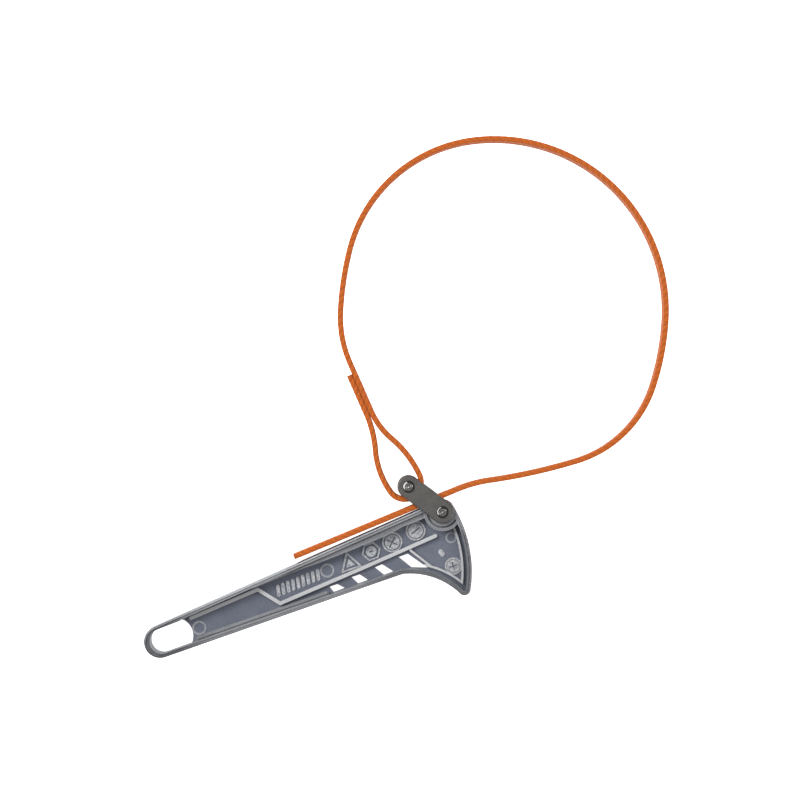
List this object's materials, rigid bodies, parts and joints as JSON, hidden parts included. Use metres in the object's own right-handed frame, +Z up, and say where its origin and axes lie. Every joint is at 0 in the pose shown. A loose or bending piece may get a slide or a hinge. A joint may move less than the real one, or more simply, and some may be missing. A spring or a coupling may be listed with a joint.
{
  "type": "oil filter strap wrench",
  "caption": "Strap wrench for oil filters: a cast handle with a cam head, a swinging link and a woven strap loop whose free tail feeds through the link.",
  "frame": {"origin": "centre of the strap loop's gripping arc, at mid width of the strap", "axes": "+X along the handle from its hang loop towards its head, +Y from the handle towards the far side of the strap loop, +Z up out of the side that shows the raised marks, with the wrench lying on its other side"},
  "size_m": [0.2751, 0.1949, 0.0278],
  "materials": {
    "cast_alloy": "satin as-cast grey",
    "link_steel": "dark grey coated steel",
    "pin_steel": "dark spring steel",
    "webbing": "orange woven webbing",
    "thread": "orange sewing thread"
  },
  "bodies": {
    "handle": {"handle": "cast_alloy"},
    "link": {"front_link_plate": "link_steel", "rear_link_plate": "link_steel", "pivot_pin": "pin_steel", "eye_pin": "pin_steel"},
    "strap_eye": {"strap_eye": "webbing", "lap_stitching": "thread"},
    "strap_tail": {"strap_tail": "webbing"},
    "strap_span_knee": {"strap_span_knee": "webbing"},
    "strap_span_flank": {"strap_span_flank": "webbing"},
    "strap_span_shoulder": {"strap_span_shoulder": "webbing"},
    "strap_span_crown": {"strap_span_crown": "webbing"},
    "strap_span_grip_top": {"strap_span_grip_top": "webbing"},
    "strap_span_grip_middle": {"strap_span_grip_middle": "webbing"},
    "strap_span_grip_bottom": {"strap_span_grip_bottom": "webbing"},
    "strap_span_heel": {"strap_span_heel": "webbing"},
    "strap_span_floor": {"strap_span_floor": "webbing"},
    "strap_span_entry": {"strap_span_entry": "webbing"}
  },
  "joints": [
    {"name": "link_swing", "type": "hinge", "parent": "handle", "child": "link", "pos_m": [-0.051, -0.0782, 0], "axis": [0, 0, 1], "range_deg": [-35, 0]},
    {"name": "strap_feed", "type": "slide", "parent": "link", "child": "strap_tail", "axis": [-0.9978, -0.0656, 0], "range_m": [-0.01, 0.012]},
    {"name": "eye_turn", "type": "hinge", "parent": "link", "child": "strap_eye", "pos_m": [-0.0618, -0.0626, 0], "axis": [0, 0, 1], "range_deg": [-2.96, 3.55]},
    {"name": "bend_knee", "type": "hinge", "parent": "strap_eye", "child": "strap_span_knee", "pos_m": [-0.06896, -0.00148, 0], "axis": [0, 0, 1], "range_deg": [-0.75, 0.63]},
    {"name": "bend_flank", "type": "hinge", "parent": "strap_span_knee", "child": "strap_span_flank", "pos_m": [-0.06556, 0.02186, 0], "axis": [0, 0, 1], "range_deg": [-1.22, 1.02]},
    {"name": "bend_shoulder", "type": "hinge", "parent": "strap_span_flank", "child": "strap_span_shoulder", "pos_m": [-0.05265, 0.04688, 0], "axis": [0, 0, 1], "range_deg": [-1.4, 1.17]},
    {"name": "bend_crown", "type": "hinge", "parent": "strap_span_shoulder", "child": "strap_span_crown", "pos_m": [-0.02273, 0.07176, 0], "axis": [0, 0, 1], "range_deg": [-1.34, 1.12]},
    {"name": "bend_grip_top", "type": "hinge", "parent": "strap_span_crown", "child": "strap_span_grip_top", "pos_m": [0.01601, 0.07532, 0], "axis": [0, 0, 1], "range_deg": [-1.06, 0.89]},
    {"name": "bend_grip_middle", "type": "hinge", "parent": "strap_span_grip_top", "child": "strap_span_grip_middle", "pos_m": [0.05484, 0.05405, 0], "axis": [0, 0, 1], "range_deg": [-0.67, 0.56]},
    {"name": "bend_grip_bottom", "type": "hinge", "parent": "strap_span_grip_middle", "child": "strap_span_grip_bottom", "pos_m": [0.07554, 0.01491, 0], "axis": [0, 0, 1], "range_deg": [-0.086, 0.072]},
    {"name": "bend_heel", "type": "hinge", "parent": "strap_span_grip_bottom", "child": "strap_span_heel", "pos_m": [0.07127, -0.02916, 0], "axis": [0, 0, 1], "range_deg": [-0.61, 0.74]},
    {"name": "bend_floor", "type": "hinge", "parent": "strap_span_heel", "child": "strap_span_floor", "pos_m": [0.03751, -0.07078, 0], "axis": [0, 0, 1], "range_deg": [-1.26, 1.51]},
    {"name": "bend_entry", "type": "hinge", "parent": "strap_span_floor", "child": "strap_span_entry", "pos_m": [-0.02633, -0.07154, 0], "axis": [0, 0, 1], "range_deg": [-0.61, 0.73]}
  ],
  "couplings": [
    {"joint": "eye_turn", "follows": "strap_feed", "rad_per_m": 5.0039},
    {"joint": "bend_knee", "follows": "strap_feed", "rad_per_m": -1.0588},
    {"joint": "bend_flank", "follows": "strap_feed", "rad_per_m": -1.7152},
    {"joint": "bend_shoulder", "follows": "strap_feed", "rad_per_m": -1.9771},
    {"joint": "bend_crown", "follows": "strap_feed", "rad_per_m": -1.886},
    {"joint": "bend_grip_top", "follows": "strap_feed", "rad_per_m": -1.4972},
    {"joint": "bend_grip_middle", "follows": "strap_feed", "rad_per_m": -0.94},
    {"joint": "bend_grip_bottom", "follows": "strap_feed", "rad_per_m": -0.1151},
    {"joint": "bend_heel", "follows": "strap_feed", "rad_per_m": 1.0333},
    {"joint": "bend_floor", "follows": "strap_feed", "rad_per_m": 2.1322},
    {"joint": "bend_entry", "follows": "strap_feed", "rad_per_m": 1.02}
  ]
}
